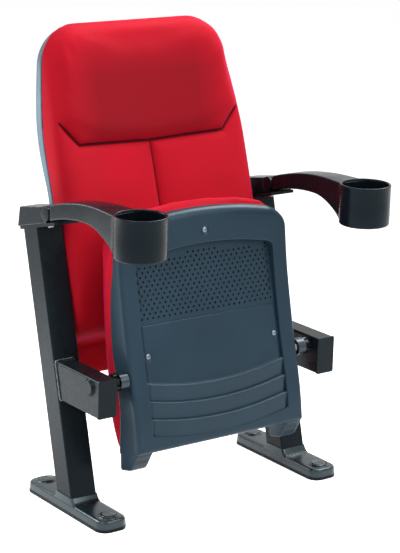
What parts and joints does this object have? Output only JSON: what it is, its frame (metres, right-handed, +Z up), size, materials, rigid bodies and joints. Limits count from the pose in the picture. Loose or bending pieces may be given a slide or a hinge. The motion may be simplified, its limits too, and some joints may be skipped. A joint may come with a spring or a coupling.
{
  "type": "tip-up auditorium seat",
  "caption": "Auditorium seat with a tip-up upholstered seat in a moulded shell, a high padded back, leaning floor-bolted legs and lifting armrests with cup holders.",
  "frame": {"origin": "on the floor, in the middle of the four floor bolts", "axes": "+Z up, the seat faces -Y, +X to the right as seen from the front"},
  "size_m": [0.6766, 0.5547, 0.9889],
  "materials": {
    "powder_coat": "semi-gloss black powder coat",
    "moulded_black": "satin near-black moulding",
    "shell_plastic": "satin slate blue-grey moulding",
    "back_plastic": "satin grey-blue moulding",
    "fabric_red": "matt upholstery cloth",
    "steel": "plain steel",
    "plywood": "raw plywood",
    "rubber_pad": "black rubber",
    "nylon": "natural nylon",
    "iron": "as cast"
  },
  "bodies": {
    "stand": {"left_leg_tube": "powder_coat", "right_leg_tube": "powder_coat", "left_base_plate": "powder_coat", "right_base_plate": "powder_coat", "left_head_plate": "powder_coat", "right_head_plate": "powder_coat", "left_seat_bracket": "powder_coat", "right_seat_bracket": "powder_coat", "left_bracket_end": "powder_coat", "right_bracket_end": "powder_coat", "left_back_hanger": "powder_coat", "right_back_hanger": "powder_coat", "pivot_caps": "powder_coat", "stop_quadrants": "powder_coat", "left_foot_cover": "moulded_black", "right_foot_cover": "moulded_black", "left_armrest_block": "moulded_black", "right_armrest_block": "moulded_black", "floor_bolt_caps": "moulded_black", "arm_hinge_caps": "moulded_black", "back_shell": "back_plastic", "back_cushion": "fabric_red", "block_screws": "steel", "arm_pins": "steel", "pivot_pins": "steel", "hanger_bolts": "steel", "back_board": "plywood", "left_arm_buffer": "rubber_pad", "right_arm_buffer": "rubber_pad"},
    "seat": {"seat_shell": "shell_plastic", "seat_shell_screws": "steel", "seat_board": "plywood", "seat_cross_tubes": "steel", "seat_cushion": "fabric_red", "pivot_bushes": "nylon", "hub_collars": "steel", "stop_pins": "steel", "left_hinge_plate": "steel", "right_hinge_plate": "steel", "left_counterweight": "iron", "right_counterweight": "iron"},
    "left_armrest": {"left_arm": "moulded_black"},
    "right_armrest": {"right_arm": "moulded_black"}
  },
  "joints": [
    {"name": "seat_hinge", "type": "hinge", "parent": "stand", "child": "seat", "pos_m": [0, -0.089, 0.299], "axis": [1, 0, 0], "range_deg": [0, 90]},
    {"name": "left_armrest_hinge", "type": "hinge", "parent": "stand", "child": "left_armrest", "pos_m": [-0.2884, 0.07787, 0.6275], "axis": [-1, 0, 0], "range_deg": [0, 90]},
    {"name": "right_armrest_hinge", "type": "hinge", "parent": "stand", "child": "right_armrest", "pos_m": [0.2884, 0.07787, 0.6275], "axis": [-1, 0, 0], "range_deg": [0, 90]}
  ]
}
